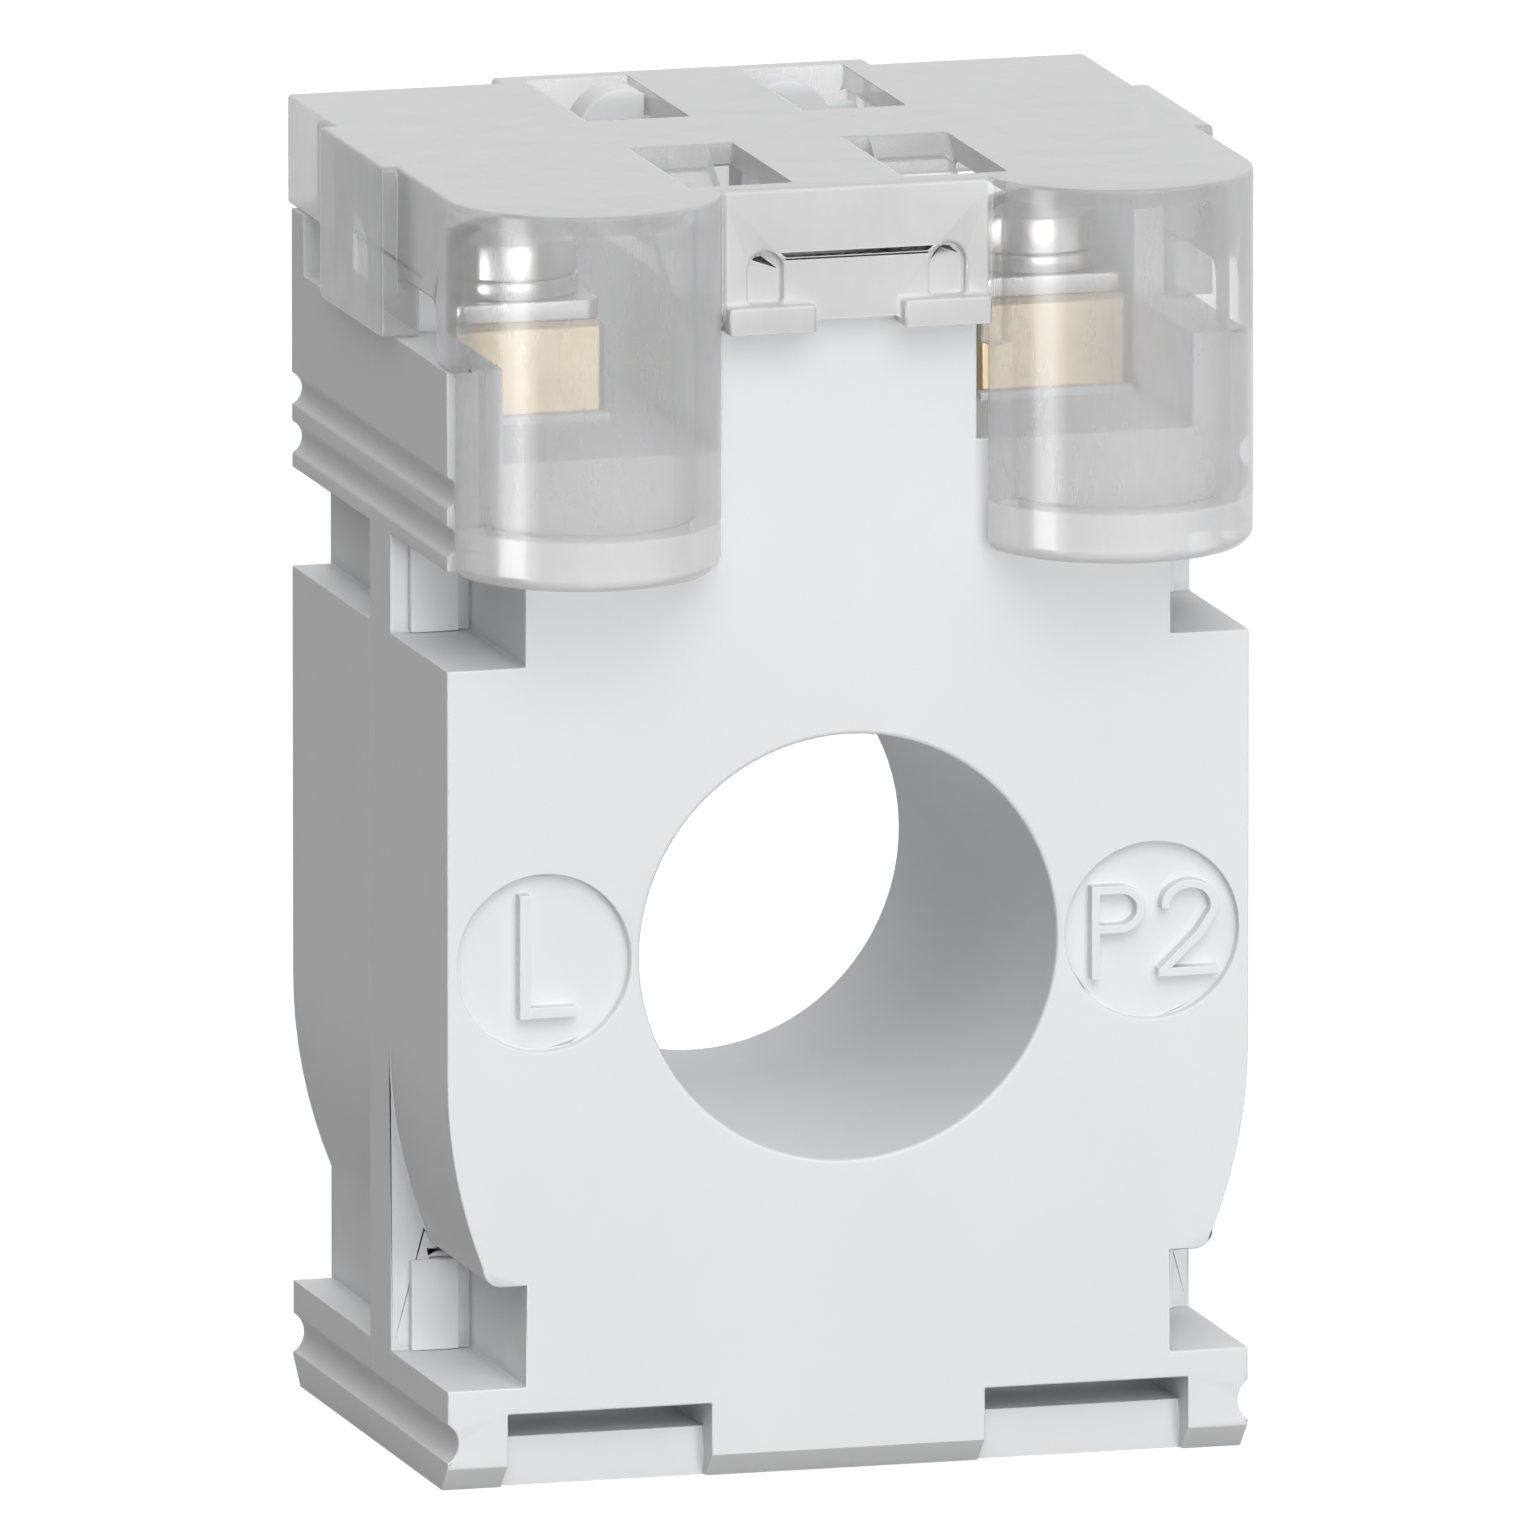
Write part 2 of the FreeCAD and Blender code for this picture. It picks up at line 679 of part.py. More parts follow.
def all_parts():
    parts = {
        "front_case": front_case(),
        "rear_case": rear_case(),
        "terminal_cover": terminal_cover(),
        "ring_core": ring_section(core_inner, core_outer, core_end),
        "secondary_winding": secondary_winding(),
        "winding_wrap": winding_wrap(),
    }
    for side, name in ((-1, "left"), (1, "right")):
        x = side * terminal_offset
        parts["terminal_block_" + name] = terminal_block(x)
        parts["clamp_plate_" + name] = clamp_plate(x)
        parts["spring_washer_" + name] = spring_washer(x)
        parts["terminal_screw_" + name] = terminal_screw(x)
        parts["lead_wire_" + name] = lead_wire(side)
    return parts


os.makedirs("parts", exist_ok=True)
for name, shape in all_parts().items():
    shape.exportStep("parts/" + name + ".step")
    corners = shape.BoundBox
    print(name, "solids", len(shape.Solids), "valid", shape.isValid(), "volume", round(shape.Volume, 1),
          "z", round(corners.ZMin, 2), round(corners.ZMax, 2))
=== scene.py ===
# %% [markdown]
# # A current transformer with a clear terminal cover
# A cable runs through the round bore, and the wound ring inside the light grey case measures its
# current. Two screw terminals sit on top, under a clear cover with two round shrouds.
# The hard shapes come from the CAD model, so this script doesn't draw them again. It gives them soft
# moulded edges and finishes, adds the small things CAD leaves out, and lights the object as in a
# product photograph.

# %% Load the CAD frame
import math

import bmesh
import bpy
from mathutils import Matrix, Vector


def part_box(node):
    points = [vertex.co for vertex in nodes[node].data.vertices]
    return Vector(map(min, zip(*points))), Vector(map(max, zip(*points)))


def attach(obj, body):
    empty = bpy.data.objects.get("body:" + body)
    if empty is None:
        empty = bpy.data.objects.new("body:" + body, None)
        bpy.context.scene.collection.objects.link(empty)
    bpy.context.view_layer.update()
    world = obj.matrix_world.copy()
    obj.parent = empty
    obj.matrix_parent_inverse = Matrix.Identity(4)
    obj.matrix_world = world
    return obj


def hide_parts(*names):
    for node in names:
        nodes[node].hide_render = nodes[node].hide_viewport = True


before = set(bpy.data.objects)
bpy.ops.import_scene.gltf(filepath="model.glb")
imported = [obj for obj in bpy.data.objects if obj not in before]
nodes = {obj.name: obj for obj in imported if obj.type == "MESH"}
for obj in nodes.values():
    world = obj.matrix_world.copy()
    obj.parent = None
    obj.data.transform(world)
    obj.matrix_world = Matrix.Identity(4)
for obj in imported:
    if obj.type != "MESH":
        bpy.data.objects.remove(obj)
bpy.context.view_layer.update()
MM = 0.001
print("CAD nodes:", len(nodes))

# %% [markdown]
# ## The camera
# The photograph was taken from far away with a long lens: upright edges stay upright and edges that
# run to the back stay parallel. A camera three and a half metres away with a very long lens gives
# that look. It looks at the middle of the object from the left of the front and a little from above.

# %% Camera
AIM = Vector((0.03, 0.0, 33.3)) * MM
SIDE_TURN = math.radians(15.7)
LIFT = math.radians(11.1)
FRAME_WIDTH = 77.78 * MM
LENS_MM = 1600.0
SENSOR_MM = 36.0

to_camera = Vector((-math.sin(SIDE_TURN) * math.cos(LIFT), -math.cos(SIDE_TURN) * math.cos(LIFT),
                    math.sin(LIFT)))
distance = FRAME_WIDTH * LENS_MM / SENSOR_MM
camera_data = bpy.data.cameras.new("camera")
camera_data.lens = LENS_MM
camera_data.sensor_width = SENSOR_MM
camera = bpy.data.objects.new("camera", camera_data)
camera.location = AIM + to_camera * distance
camera.rotation_euler = to_camera.to_track_quat("Z", "Y").to_euler()
bpy.context.scene.collection.objects.link(camera)
bpy.context.scene.camera = camera
print("camera distance in m:", round(distance, 3))

# %% [markdown]
# ## Building node trees
# Materials are made of nodes. Short helpers keep the recipes readable: they put a node in a tree and
# set its values, join sockets, mix colours, combine numbers, and start or use a node group. A group is
# a small recipe with named inputs and outputs that several materials can share.

# %% Node helpers
def put(tree, kind, values=None, **settings):
    """Adds a node, sets its properties, and sets input sockets by name or number."""
    node = tree.nodes.new("ShaderNode" + kind)
    for name, value in settings.items():
        setattr(node, name, value)
    for key, value in (values or {}).items():
        node.inputs[key].default_value = value
    return node


def join(tree, *pairs):
    for start, end in pairs:
        tree.links.new(start, end)


def feed(tree, socket, source):
    """Links a socket to another socket, or sets it to a plain value."""
    if isinstance(source, bpy.types.NodeSocket):
        tree.links.new(source, socket)
    else:
        socket.default_value = source


def mix_colours(tree, factor, first, second):
    """A Mix node for colours. Its colour sockets are numbers 6 and 7, and its output is 2."""
    node = put(tree, "Mix", data_type="RGBA")
    for number, source in ((0, factor), (6, first), (7, second)):
        feed(tree, node.inputs[number], source)
    return node.outputs[2]


def combine(tree, operation, first, second):
    """A Math node whose result stays between 0 and 1."""
    node = put(tree, "Math", operation=operation, use_clamp=True)
    feed(tree, node.inputs[0], first)
    feed(tree, node.inputs[1], second)
    return node.outputs[0]


def remap(tree, source, low, high, to_low=0.0, to_high=1.0):
    """Moves a value from one range to another and stops at the new range's ends."""
    node = put(tree, "MapRange", {"From Min": low, "From Max": high,
                                  "To Min": to_low, "To Max": to_high})
    tree.links.new(source, node.inputs["Value"])
    return node.outputs["Result"]


def start_group(name, inputs, outputs):
    """A node group with float or colour inputs given as name: default, and outputs as name: kind."""
    tree = bpy.data.node_groups.new(name, "ShaderNodeTree")
    for label, value in inputs.items():
        kind = "NodeSocketColor" if isinstance(value, tuple) else "NodeSocketFloat"
        socket = tree.interface.new_socket(name=label, in_out="INPUT", socket_type=kind)
        socket.default_value = value
    for label, kind in outputs.items():
        tree.interface.new_socket(name=label, in_out="OUTPUT", socket_type="NodeSocket" + kind)
    return tree, tree.nodes.new("NodeGroupInput").outputs, tree.nodes.new("NodeGroupOutput").inputs


def use_group(tree, group, **values):
    """Places a group in a tree. Its input names are given with _ for a space."""
    node = put(tree, "Group", node_tree=group)
    for label, value in values.items():
        feed(tree, node.inputs[label.replace("_", " ")], value)
    return node.outputs


print("node helpers ready")

# %% [markdown]
# ## Effects that several materials share
# Moulded plastic isn't perfectly even. A spark-eroded mould leaves a fine grain, and the colour drifts
# a little over large areas. Edges that stick out get a painted highlight, and deep corners painted
# shade.
# The noise in them is laid out in the object's own coordinates, so it moves with the object, and its
# size is given per millimetre, so it stays in scale. Edges are found by comparing the true normal
# with one that is rounded over the edge, and corners by how much open space is round a point.

# %% Noise with a size in millimetres
def noise_per_mm(tree, amount, detail, stretch=None):
    """Noise with a number of spots per millimetre, over the object's own coordinates."""
    place = put(tree, "TexCoord").outputs["Object"]
    if stretch:
        squeeze = put(tree, "Mapping", {"Scale": stretch})
        join(tree, (place, squeeze.inputs["Vector"]))
        place = squeeze.outputs["Vector"]
    per_metre = put(tree, "Math", {1: 1 / MM}, operation="MULTIPLY")
    noise = put(tree, "TexNoise", {"Detail": detail, "Roughness": 0.6})
    feed(tree, per_metre.inputs[0], amount)
    join(tree, (place, noise.inputs["Vector"]), (per_metre.outputs[0], noise.inputs["Scale"]))
    return noise.outputs[0]


print("noise helper ready")

# %% Group: fine moulded grain
grain, given, result = start_group("Moulded grain", {"Grains per mm": 4.0}, {"Height": "Float"})
join(grain, (noise_per_mm(grain, given["Grains per mm"], 3.0), result["Height"]))
print(grain.name, "nodes:", len(grain.nodes))

# %% Group: slow colour drift
PATCH_STARTS, PATCH_FULL = 0.35, 0.68
drift, given, result = start_group(
    "Colour drift", {"Colour": (0.8, 0.8, 0.8, 1.0), "Other colour": (0.75, 0.75, 0.75, 1.0),
                     "Patches per mm": 0.06}, {"Colour": "Color", "Patches": "Float"})
patches = remap(drift, noise_per_mm(drift, given["Patches per mm"], 3.0), PATCH_STARTS, PATCH_FULL)
join(drift, (mix_colours(drift, patches, given["Colour"], given["Other colour"]), result["Colour"]),
     (patches, result["Patches"]))
print(drift.name, "nodes:", len(drift.nodes))

# %% Group: masks for painted edge highlights and painted corner shade
SAME_NORMAL, TURNED_NORMAL = 0.995, 0.80
OPEN_SPACE, CLOSED_SPACE = 0.85, 0.25
edges, given, result = start_group(
    "Painted edge highlight and corner shade masks", {"Edge width": 0.15 * MM, "Corner reach": 1.1 * MM},
    {"Edge": "Float", "Painted corner shade": "Float"})
# The Edge mask drives painted highlights and the corner mask painted shade in the base colour
soft = put(edges, "Bevel", samples=4)
true = put(edges, "NewGeometry")
across = put(edges, "VectorMath", operation="DOT_PRODUCT")
open_sky = put(edges, "AmbientOcclusion", samples=6, only_local=True)
join(edges, (given["Edge width"], soft.inputs["Radius"]), (soft.outputs[0], across.inputs[0]),
     (true.outputs["Normal"], across.inputs[1]), (given["Corner reach"], open_sky.inputs["Distance"]),
     (remap(edges, across.outputs["Value"], SAME_NORMAL, TURNED_NORMAL), result["Edge"]),
     (remap(edges, open_sky.outputs["AO"], OPEN_SPACE, CLOSED_SPACE), result["Painted corner shade"]))
print(edges.name, "nodes:", len(edges.nodes))

# %% Group: fine lines left by a tool
tool_lines, given, result = start_group("Tool lines", {"Lines per mm": 12.0}, {"Height": "Float"})
join(tool_lines, (noise_per_mm(tool_lines, given["Lines per mm"], 4.0, (1.0, 1.0, 0.07)),
                  result["Height"]))
print(tool_lines.name, "nodes:", len(tool_lines.nodes))

# %% [markdown]
# ## Materials
# Every material starts the same way: a Principled shader with constant numbers on its own sockets.
# A bump from a group goes into Normal, and colours that change over the surface go into Base Color.

# %% Material helpers
def new_finish(name, **values):
    """A material with one Principled shader. Socket names are given with _ for a space."""
    finish = bpy.data.materials.new(name)
    finish.use_nodes = True
    tree = finish.node_tree
    shader = tree.nodes["Principled BSDF"]
    for key, value in values.items():
        shader.inputs[key.replace("_", " ")].default_value = value
    return finish, tree, shader


def add_bump(tree, height, shader, strength, depth):
    bump = put(tree, "Bump", {"Strength": strength, "Distance": depth})
    join(tree, (height, bump.inputs["Height"]), (bump.outputs["Normal"], shader.inputs["Normal"]))


print("material helpers ready")

# %% [markdown]
# ### Light grey case plastic
# The case is moulded in a matt, cool light grey plastic, almost even in colour. The corners of its
# recesses get painted shade and its edges a painted highlight.

# %% Case plastic
case_plastic, tree, shader = new_finish("case_plastic_grained", Roughness=0.6, IOR=1.5,
                                         Specular_IOR_Level=0.15)
colour = use_group(tree, drift, Colour=(0.760, 0.785, 0.800, 1.0),
                   Other_colour=(0.740, 0.762, 0.778, 1.0))
masks = use_group(tree, edges)
# painted shade: the colour darkens in deep corners, where little open space is round a point
painted_corner_shade = mix_colours(tree, masks["Painted corner shade"], colour["Colour"], (0.53, 0.55, 0.58, 1.0))
# painted highlight: the colour lightens along edges that stick out
painted_edge_highlight = mix_colours(tree, masks["Edge"], painted_corner_shade, (0.85, 0.87, 0.88, 1.0))
join(tree, (painted_edge_highlight, shader.inputs["Base Color"]))
add_bump(tree, use_group(tree, grain, Grains_per_mm=5.0)["Height"], shader, 0.25, 0.02 * MM)
print(case_plastic.name, "nodes:", len(tree.nodes))

# %% [markdown]
# ### Clear cover
# The cover is clear plastic with a milky haze. Its walls are thin, so bending of light hardly shows,
# and Alpha is a simpler and quieter way than refraction to let the terminals show through. What makes
# Alpha higher is added up in steps, each a number between 0 and 1:
# - Layer Weight, because a clear wall that is seen edge-on looks milky
# - the shared edge mask, because moulded edges gather light
# - the roof, the frosted front tab and the thick lower rims of the shrouds, found by their place
# - faint flow streaks from moulding
#
# Edges get a painted highlight: they are paler than the walls. The lower rims are paler too, partly
# for their thicker plastic and partly as painted light, and the roof is darker as painted shade. So
# the same masks go into the colour. Hazy plastic lets scattered light through, so Light Path lowers
# Alpha for the rays that cast shadows.

# %% Haze and frosted places
FROST_HALF_WIDTH = 6.9 * MM
FROST_FRONT = -14.9 * MM
RIM_TOP = 49.8 * MM
ROOF = 66.15 * MM
BLUR = 0.15 * MM

clear_cover, tree, shader = new_finish("clear_cover_hazy", Roughness=0.2, IOR=1.5,
                                        Specular_IOR_Level=0.3)
place = put(tree, "SeparateXYZ")
sideways = put(tree, "Math", operation="ABSOLUTE")
join(tree, (put(tree, "TexCoord").outputs["Object"], place.inputs[0]),
     (place.outputs["X"], sideways.inputs[0]))
frost = combine(tree, "MULTIPLY",
                remap(tree, sideways.outputs[0], FROST_HALF_WIDTH, FROST_HALF_WIDTH - BLUR),
                remap(tree, place.outputs["Y"], FROST_FRONT, FROST_FRONT - BLUR))
rim = remap(tree, place.outputs["Z"], RIM_TOP, RIM_TOP - BLUR)
roof = remap(tree, place.outputs["Z"], ROOF, ROOF + BLUR)
print("frosted places ready, nodes:", len(tree.nodes))

# %% Clear cover
EDGE_HAZE, FROST_HAZE, RIM_HAZE, ROOF_HAZE = 0.35, 0.60, 0.25, 0.15
FACED, EDGE_ON = 0.30, 0.72
FACED_HAZE, EDGE_ON_HAZE = 0.35, 0.86
SHADOW_SHARE, PALE_RIM = 0.6, 0.6
# a paler colour for the painted highlight on edges and for the rims, which is partly painted light
EDGE_HIGHLIGHT_AND_RIM_COLOUR = (0.84, 0.84, 0.85, 1.0)
# a darker colour that paints shade on the roof's top face
ROOF_PAINTED_SHADE = (0.50, 0.50, 0.505, 1.0)

colour = use_group(tree, drift, Colour=(0.58, 0.58, 0.585, 1.0),
                   Other_colour=(0.64, 0.64, 0.645, 1.0), Patches_per_mm=0.12)
masks = use_group(tree, edges, Edge_width=0.2 * MM)
facing = put(tree, "LayerWeight", {"Blend": 0.35})
streaks = noise_per_mm(tree, 0.35, 4.0, (1.0, 1.0, 0.25))
haze = remap(tree, facing.outputs["Facing"], FACED, EDGE_ON, FACED_HAZE, EDGE_ON_HAZE)
added = ((masks["Edge"], EDGE_HAZE), (frost, FROST_HAZE), (rim, RIM_HAZE), (roof, ROOF_HAZE))
for mask, weight in added:
    haze = combine(tree, "ADD", haze, combine(tree, "MULTIPLY", mask, weight))
haze = combine(tree, "ADD", haze, remap(tree, streaks, 0.3, 0.7, -0.03, 0.05))
passed = remap(tree, put(tree, "LightPath").outputs["Is Shadow Ray"], 0.0, 1.0, 1.0, SHADOW_SHARE)
# painted highlight on the edges, and rims paler partly as painted light
edge_highlight_and_pale_rim = combine(tree, "ADD", masks["Edge"], combine(tree, "MULTIPLY", rim, PALE_RIM))
# painted shade: the roof's top face is darker
tint = mix_colours(tree, roof, colour["Colour"], ROOF_PAINTED_SHADE)
join(tree, (combine(tree, "MULTIPLY", haze, passed), shader.inputs["Alpha"]),
     (mix_colours(tree, edge_highlight_and_pale_rim, tint, EDGE_HIGHLIGHT_AND_RIM_COLOUR), shader.inputs["Base Color"]))
add_bump(tree, use_group(tree, grain, Grains_per_mm=0.5)["Height"], shader, 0.15, 0.03 * MM)
print(clear_cover.name, "nodes:", len(tree.nodes))

# %% [markdown]
# ### Metals
# The terminal blocks are milled brass, and the screws, plates and washers are nickel-plated steel.
# Both show faint lines from their machining. The sealed ring is rolled steel strip.

# %% Brass, plated steel and strip steel
def new_metal(name, colour, other, roughness, lines):
    finish, tree, shader = new_finish(name, Metallic=1.0, Roughness=roughness)
    tint = use_group(tree, drift, Colour=colour, Other_colour=other, Patches_per_mm=0.5)
    join(tree, (tint["Colour"], shader.inputs["Base Color"]))
    add_bump(tree, use_group(tree, tool_lines, Lines_per_mm=lines)["Height"], shader, 0.2, 0.01 * MM)
    print(finish.name, "nodes:", len(tree.nodes))
    return finish


brass = new_metal("brass_milled", (0.80, 0.66, 0.43, 1.0), (0.72, 0.58, 0.36, 1.0), 0.38, 14.0)
plated_steel = new_metal("steel_nickel_plated", (0.76, 0.74, 0.71, 1.0), (0.66, 0.64, 0.62, 1.0),
                         0.28, 10.0)
core_steel = new_metal("steel_strip", (0.42, 0.43, 0.46, 1.0), (0.34, 0.35, 0.38, 1.0), 0.45, 6.0)

# %% [markdown]
# ### Wires and tape
# The secondary winding is enamelled copper wire, covered by yellow film tape, and the leads have red
# insulation. They are sealed in the case, but they still get their own finishes.

# %% Enamelled copper, film tape and lead insulation
def new_coating(name, colour, other, roughness, spots, depth, metal=0.0):
    finish, tree, shader = new_finish(name, Metallic=metal, Roughness=roughness, Coat_Weight=0.3)
    tint = use_group(tree, drift, Colour=colour, Other_colour=other, Patches_per_mm=0.3)
    join(tree, (tint["Colour"], shader.inputs["Base Color"]))
    add_bump(tree, use_group(tree, grain, Grains_per_mm=spots)["Height"], shader, 0.4, depth)
    print(finish.name, "nodes:", len(tree.nodes))
    return finish


copper = new_coating("copper_enamelled", (0.55, 0.22, 0.09, 1.0), (0.42, 0.15, 0.06, 1.0),
                     0.3, 2.0, 0.10 * MM, 0.7)
film = new_coating("film_tape", (0.72, 0.55, 0.12, 1.0), (0.66, 0.48, 0.09, 1.0),
                   0.25, 0.8, 0.04 * MM)
insulation = new_coating("lead_insulation_red", (0.55, 0.06, 0.05, 1.0), (0.48, 0.05, 0.04, 1.0),
                         0.35, 3.0, 0.02 * MM)

# %% [markdown]
# ## Giving the CAD pieces their finishes and soft edges
# Real moulded and machined edges are never perfectly sharp: they carry a tiny round that catches
# light. Three modifiers add it without touching the CAD mesh: Weld joins its faces, Bevel rounds the
# sharp edges, and Weighted Normal keeps large faces looking flat.

# %% Finish and soften the CAD pieces
def soften(obj, width):
    weld = obj.modifiers.new("weld", "WELD")
    weld.merge_threshold = 0.001 * MM
    bevel = obj.modifiers.new("soft edges", "BEVEL")
    bevel.width = width
    bevel.segments = 2
    bevel.angle_limit = math.radians(32)
    bevel.use_clamp_overlap = False
    normals = obj.modifiers.new("flat faces stay flat", "WEIGHTED_NORMAL")
    normals.keep_sharp = False


finishes = {
    "front_case": (case_plastic, 0.10), "rear_case": (case_plastic, 0.10),
    "terminal_cover": (clear_cover, 0.20), "ring_core": (core_steel, 0.0),
    "secondary_winding": (copper, 0.0), "winding_wrap": (film, 0.0),
    "terminal_block_left": (brass, 0.05), "terminal_block_right": (brass, 0.05),
    "clamp_plate_left": (plated_steel, 0.08), "clamp_plate_right": (plated_steel, 0.08),
    "spring_washer_left": (plated_steel, 0.08), "spring_washer_right": (plated_steel, 0.08),
    "lead_wire_left": (insulation, 0.0), "lead_wire_right": (insulation, 0.0),
}
for name, (finish, edge_mm) in finishes.items():
    obj = nodes[name]
    for slot in obj.material_slots:
        slot.material = finish
    if edge_mm:
        soften(obj, edge_mm * MM)
print("finished CAD pieces:", len(finishes))

# %% [markdown]
# ## Terminal screws
# CAD keeps each screw simple, with a flat top. The real heads are domed, with a slot and a cross, and
# their shanks are threaded. A lathe profile spun round the screw's axis gives the head, and cutting
# boxes out of it gives the drive. These pieces stand for the CAD screws and turn with them.

# %% Screw sizes from the CAD boxes
STACK_GAP = 0.04 * MM
screw_low, screw_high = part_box("terminal_screw_right")
washer_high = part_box("spring_washer_right")[1]
head_radius = (screw_high[0] - screw_low[0]) / 2
head_base = washer_high[2] + STACK_GAP
print("head radius and top in mm:", round(head_radius / MM, 2), round(screw_high[2] / MM, 2))

# %% Mesh helpers
def new_piece(name, shape, finish, body):
    """Turns a bmesh into a piece of the object that moves with a CAD body."""
    mesh = bpy.data.meshes.new(name)
    bmesh.ops.recalc_face_normals(shape, faces=shape.faces)
    shape.to_mesh(mesh)
    shape.free()
    mesh.materials.append(finish)
    piece = bpy.data.objects.new(name, mesh)
    bpy.context.scene.collection.objects.link(piece)
    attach(piece, body)
    return piece


def spin_profile(profile, centre, turns, steps, pitch=0.0):
    """Spins (radius, height) points round an upright axis. With a pitch they climb as a thread."""
    shape = bmesh.new()
    points = [shape.verts.new((centre[0] + radius, centre[1], height))
              for radius, height in profile]
    rim = [shape.edges.new(pair) for pair in zip(points, points[1:])]
    bmesh.ops.spin(shape, geom=points + rim, cent=centre, axis=(0, 0, 1), angle=2 * math.pi * turns,
                   steps=steps, dvec=(0, 0, pitch * turns / steps))
    bmesh.ops.remove_doubles(shape, verts=shape.verts, dist=0.0005 * MM)
    return shape


def smooth_by_angle(piece, degrees):
    for face in piece.data.polygons:
        face.use_smooth = True
    piece.data.set_sharp_from_angle(angle=math.radians(degrees))


print("mesh helpers ready")

# %% Domed head profile
DOME_HEIGHT = 1.0 * MM
RIM_ROUND = 0.3 * MM
FOOT_BEVEL = 0.1 * MM
DOME_STEPS = 8
rim_top = screw_high[2] - DOME_HEIGHT
dome_radius = (head_radius**2 + DOME_HEIGHT**2) / (2 * DOME_HEIGHT)
dome_centre = screw_high[2] - dome_radius
profile = [(0.0, head_base), (head_radius - FOOT_BEVEL, head_base),
           (head_radius, head_base + FOOT_BEVEL), (head_radius, rim_top - RIM_ROUND),
           (head_radius - 0.09 * MM, rim_top + 0.1 * MM)]
for step in range(DOME_STEPS + 1):
    radius = (head_radius - RIM_ROUND) * (1 - step / DOME_STEPS)
    profile.append((radius, dome_centre + math.sqrt(dome_radius**2 - radius**2)))
print("profile points:", len(profile))

# %% Drive cutter
DRIVE_WIDTH = 1.1 * MM
DRIVE_DEPTH = 1.3 * MM
CROSS_LENGTH = 4.2 * MM
REST_TURN = math.radians(20)


def drive_cutter(centre):
    """A slot across the head and a shorter one across it, as one cutting shape."""
    shape = bmesh.new()
    for length, turn, drop in ((3 * head_radius, 0.0, 0.0), (CROSS_LENGTH, math.pi / 2, 0.02 * MM)):
        made = bmesh.ops.create_cube(shape, size=1.0)["verts"]
        bmesh.ops.scale(shape, verts=made, vec=(length, DRIVE_WIDTH, 2 * DRIVE_DEPTH))
        bmesh.ops.rotate(shape, verts=made, cent=(0, 0, 0),
                         matrix=Matrix.Rotation(turn + REST_TURN, 3, "Z"))
        bmesh.ops.translate(shape, verts=made, vec=(centre[0], centre[1], screw_high[2] - drop))
    mesh = bpy.data.meshes.new("drive_cutter")
    shape.to_mesh(mesh)
    shape.free()
    return bpy.data.objects.new("drive_cutter", mesh)


print("drive depth in mm:", DRIVE_DEPTH / MM)

# %% Make both screws
THREAD_PITCH = 0.7 * MM
THREAD_RADII = (1.62 * MM, 1.94 * MM)
shank_bottom = screw_low[2]
thread_turns = int((head_base - shank_bottom) / THREAD_PITCH)
thread_profile = [(THREAD_RADII[0], shank_bottom),
                  (THREAD_RADII[1], shank_bottom + THREAD_PITCH * 0.42),
                  (THREAD_RADII[1], shank_bottom + THREAD_PITCH * 0.58),
                  (THREAD_RADII[0], shank_bottom + THREAD_PITCH)]

for side in ("left", "right"):
    low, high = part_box("terminal_screw_" + side)
    axis = ((low[0] + high[0]) / 2, 0.0, 0.0)
    head = new_piece("screw_head_" + side, spin_profile(profile, axis, 1, 96), plated_steel,
                     "screw_" + side)
    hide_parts("terminal_screw_" + side)
    cutter = drive_cutter(axis)
    bpy.context.scene.collection.objects.link(cutter)
    cut = head.modifiers.new("drive", "BOOLEAN")
    cut.operation, cut.solver, cut.use_self, cut.object = "DIFFERENCE", "EXACT", True, cutter
    seen = head.evaluated_get(bpy.context.evaluated_depsgraph_get())
    head.data = bpy.data.meshes.new_from_object(seen)
    head.modifiers.clear()
    bpy.data.objects.remove(cutter)
    smooth_by_angle(head, 32)
    thread = new_piece("screw_thread_" + side,
                       spin_profile(thread_profile, axis, thread_turns, 40 * thread_turns,
                                    THREAD_PITCH), plated_steel, "screw_" + side)
    smooth_by_angle(thread, 45)
    print(head.name, "faces:", len(head.data.polygons), "thread turns:", thread_turns)

# %% [markdown]
# ## Raised marks
# The round recesses on the front carry the usual marks for the cable's direction, L and P2, and the
# back carries K and P1. On a moulding they are raised, flat-topped strokes. Each stroke is a path that
# is widened to both sides and lifted from the recess floor to a little over the face in front, and
# to just under it at the back. Each further stroke of a letter is a hair lower than the last, so that
# no two tops lie in one plane where they cross.

# %% Stroke helper
RECESS_MM = 0.6
STROKE_SINK_MM = 0.1
STROKE_STEP_MM = 0.01
FRONT_TOP_MM, BACK_TOP_MM = 0.15, -0.04


def add_stroke(shape, points, width, to_world, top):
    """A flat-topped ridge along a path of (x, z) points in millimetres."""
    rows = []
    for index, point in enumerate(points):
        before = (point - points[index - 1]).normalized() if index else None
        after = (points[index + 1] - point).normalized() if index + 1 < len(points) else None
        along = ((before or after) + (after or before)).normalized()
        normal = Vector((-along.y, along.x))
        ahead = after or before
        reach = width / 2 / max(0.5, normal.dot(Vector((-ahead.y, ahead.x))))
        corners = ((1, -STROKE_SINK_MM), (1, top), (-1, top), (-1, -STROKE_SINK_MM))
        rows.append([shape.verts.new(to_world(point + normal * side * reach, depth))
                     for side, depth in corners])
    for first, second in zip(rows, rows[1:]):
        for a, b in ((0, 1), (1, 2), (2, 3), (3, 0)):
            shape.faces.new((first[a], first[b], second[b], second[a]))
    for end in (rows[0], rows[-1]):
        shape.faces.new(end)


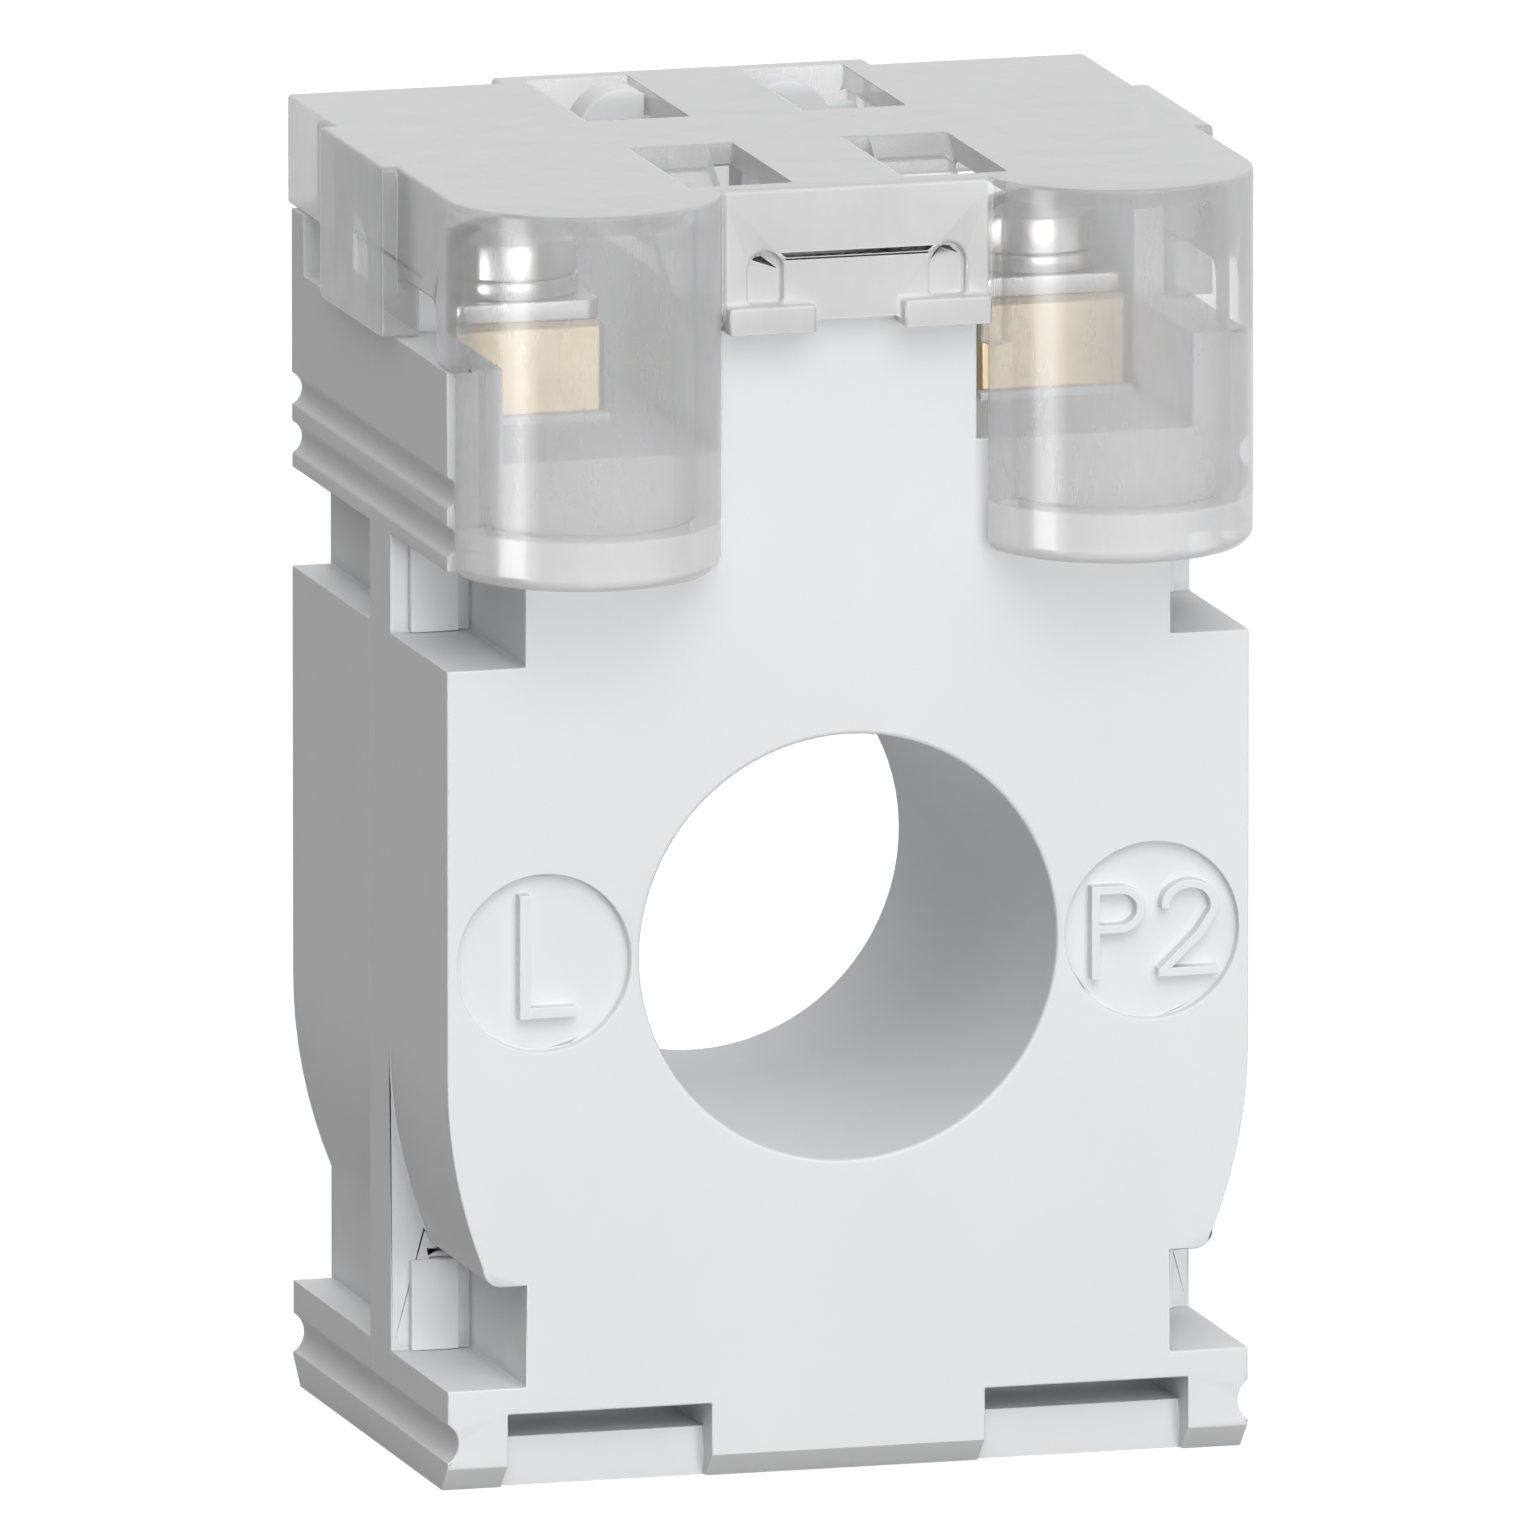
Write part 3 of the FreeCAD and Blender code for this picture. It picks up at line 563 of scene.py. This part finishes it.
def arc_points(centre, radii, start, end, count):
    """Points along part of an ellipse, with angles in degrees from the right, turning upwards."""
    angles = [math.radians(start + (end - start) * step / (count - 1)) for step in range(count)]
    return [Vector((centre[0] + radii[0] * math.cos(a), centre[1] + radii[1] * math.sin(a)))
            for a in angles]


print("stroke helper ready")

# %% Strokes of the marks
def path(*points):
    return [Vector(point) for point in points]


letter_l = [path((-1.02, 3.56), (-1.02, -2.81)), path((-1.2, -2.5), (1.67, -2.5))]
letter_p = [path((-3.0, 2.4), (-3.0, -2.35)),
            path((-3.2, 2.2)) + arc_points((-1.7, 1.2), (1.08, 1.0), 90, -90, 15)
            + path((-3.15, 0.2))]
figure_2 = [arc_points((1.95, 1.2), (1.3, 1.13), 185, -20, 15)
            + path((2.45, -0.25), (0.5, -2.12)), path((0.3, -2.16), (3.45, -2.16))]
letter_k = [path((-1.4, 3.3), (-1.4, -2.9)), path((1.6, 3.3), (-1.35, -0.1)),
            path((-0.5, 0.75), (1.7, -2.9))]
figure_1 = [path((2.4, 2.3), (2.4, -2.35)), path((2.35, 2.15), (1.2, 1.1))]
print("strokes in L, P, 2:", len(letter_l), len(letter_p), len(figure_2))

# %% Place the marks in the recesses
DISC_X_MM, DISC_Z_MM = 15.9, 27.0
half_depth_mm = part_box("rear_case")[1][1] / MM
marks = {"mark_L": (letter_l, -1, -1, 0.56), "mark_P2": (letter_p + figure_2, 1, -1, 0.44),
         "mark_K": (letter_k, 1, 1, 0.56), "mark_P1": (letter_p + figure_1, -1, 1, 0.44)}
for name, (strokes, disc_side, face, width) in marks.items():
    shape = bmesh.new()
    for number, points in enumerate(strokes):
        def to_world(point, depth):
            x = disc_side * DISC_X_MM - face * point.x
            y = face * (half_depth_mm - RECESS_MM + depth)
            return Vector((x, y, DISC_Z_MM + point.y)) * MM
        top = RECESS_MM + (FRONT_TOP_MM if face < 0 else BACK_TOP_MM) - STROKE_STEP_MM * number
        add_stroke(shape, points, width, to_world, top)
    piece = new_piece(name, shape, case_plastic, "case")
    soft_edge = piece.modifiers.new("soft edges", "BEVEL")
    soft_edge.width, soft_edge.segments, soft_edge.use_clamp_overlap = 0.05 * MM, 2, False
    soft_edge.angle_limit = math.radians(40)
    print(piece.name, "faces:", len(piece.data.polygons))

# %% [markdown]
# ## Light, background and floor
# A product photograph has soft light from all round. Here most of it is a sky in the world: bright
# overhead and dark towards the sides, so that faces that look up are the brightest, upright faces are
# shaded, and grooves show light bands. A large lamp in front and above lights the front, and a low one
# reaches into the slots of the foot. One behind lights the back and the bore, and isn't mirrored. A
# small lamp close on the left draws the upright highlights on the round shrouds, and it shows only in
# reflections.
#
# The background has to be pure white without pouring more light on the object. So camera, mirror and
# see-through rays see plain white, and only the rays that light the object see the sky. The floor
# does the same: for those rays it glows white and adds a faint diffuse part that keeps the object's
# shadow, for all others it is a plain grey, and from below it is clear.

# %% Which rays see white
def seen_directly(tree):
    """1 for rays from the camera, off a mirror or through a clear wall, and 0 for all others."""
    rays = put(tree, "LightPath").outputs
    return combine(tree, "MAXIMUM", rays["Is Transmission Ray"],
                   combine(tree, "MAXIMUM", rays["Is Camera Ray"], rays["Is Glossy Ray"]))


print("ray helper ready")

# %% World
SKY_LEVEL, SIDE_LEVEL = 0.90, 0.02
SKY_STARTS, SKY_FULL = 0.40, 0.70
world = bpy.data.worlds.new("room")
world.use_nodes = True
tree = world.node_tree
tree.nodes.clear()
direction = put(tree, "SeparateXYZ")
level = put(tree, "MapRange", {"To Max": 1.0})
room = put(tree, "Background", {"Color": (1.0, 1.0, 1.0, 1.0)})
join(tree, (put(tree, "TexCoord").outputs["Generated"], direction.inputs[0]),
     (remap(tree, direction.outputs["Z"], SKY_STARTS, SKY_FULL, SIDE_LEVEL, SKY_LEVEL),
      level.inputs["To Min"]),
     (seen_directly(tree), level.inputs["Value"]), (level.outputs["Result"], room.inputs["Strength"]),
     (room.outputs[0], put(tree, "OutputWorld").inputs["Surface"]))
bpy.context.scene.world = world
bpy.context.scene.view_settings.view_transform = "Standard"
print("sky level:", SKY_LEVEL)

# %% Lamps
def soft_lamp(name, direction, distance_m, size, energy):
    data = bpy.data.lights.new(name, "AREA")
    data.shape, data.size, data.size_y, data.energy = "RECTANGLE", size[0], size[1], energy
    lamp = bpy.data.objects.new(name, data)
    away = Vector(direction).normalized()
    lamp.location = AIM + away * distance_m
    lamp.rotation_euler = away.to_track_quat("Z", "Y").to_euler()
    bpy.context.scene.collection.objects.link(lamp)
    print(name, "at", [round(value, 2) for value in lamp.location], "energy", energy)
    return lamp


soft_lamp("main_soft_lamp", (-0.05, -0.82, 0.57), 1.0, (0.7, 0.7), 4.1)
soft_lamp("low_front_lamp", (0.06, -0.99, 0.06), 1.0, (0.6, 0.12), 4.1)
back = soft_lamp("back_soft_lamp", (0.15, 0.95, 0.27), 1.0, (0.6, 0.5), 4.0)
back.visible_glossy = False
strip = soft_lamp("left_strip_lamp", (-0.93, -0.37, 0.03), 0.16, (0.06, 0.06), 0.30)
strip.visible_diffuse = strip.visible_camera = False

# %% Floor
FLOOR_REACH = 3.0
FLOOR_DROP = 0.02 * MM
floor_mesh = bpy.data.meshes.new("floor")
floor_corners = [(x * FLOOR_REACH, y * FLOOR_REACH, 0)
                 for x, y in ((-1, -1), (1, -1), (1, 1), (-1, 1))]
floor_mesh.from_pydata(floor_corners, [], [(0, 1, 2, 3)])
floor = bpy.data.objects.new("floor", floor_mesh)
floor.location.z = -FLOOR_DROP
bpy.context.scene.collection.objects.link(floor)

floor_white = bpy.data.materials.new("floor_white")
floor_white.use_nodes = True
tree = floor_white.node_tree
tree.nodes.clear()
plain = put(tree, "BsdfDiffuse", {"Color": (0.32, 0.32, 0.32, 1.0)})
faint = put(tree, "BsdfDiffuse", {"Color": (0.22, 0.22, 0.22, 1.0)})
glow = put(tree, "Emission", {"Strength": 0.9})
white = put(tree, "AddShader")
by_ray = put(tree, "MixShader")
from_below = put(tree, "MixShader")
join(tree, (faint.outputs[0], white.inputs[0]), (glow.outputs[0], white.inputs[1]),
     (seen_directly(tree), by_ray.inputs["Fac"]), (plain.outputs[0], by_ray.inputs[1]),
     (white.outputs[0], by_ray.inputs[2]),
     (put(tree, "NewGeometry").outputs["Backfacing"], from_below.inputs["Fac"]),
     (by_ray.outputs[0], from_below.inputs[1]),
     (put(tree, "BsdfTransparent").outputs[0], from_below.inputs[2]),
     (from_below.outputs[0], put(tree, "OutputMaterial").inputs["Surface"]))
floor_mesh.materials.append(floor_white)
print("floor size in m:", 2 * FLOOR_REACH)
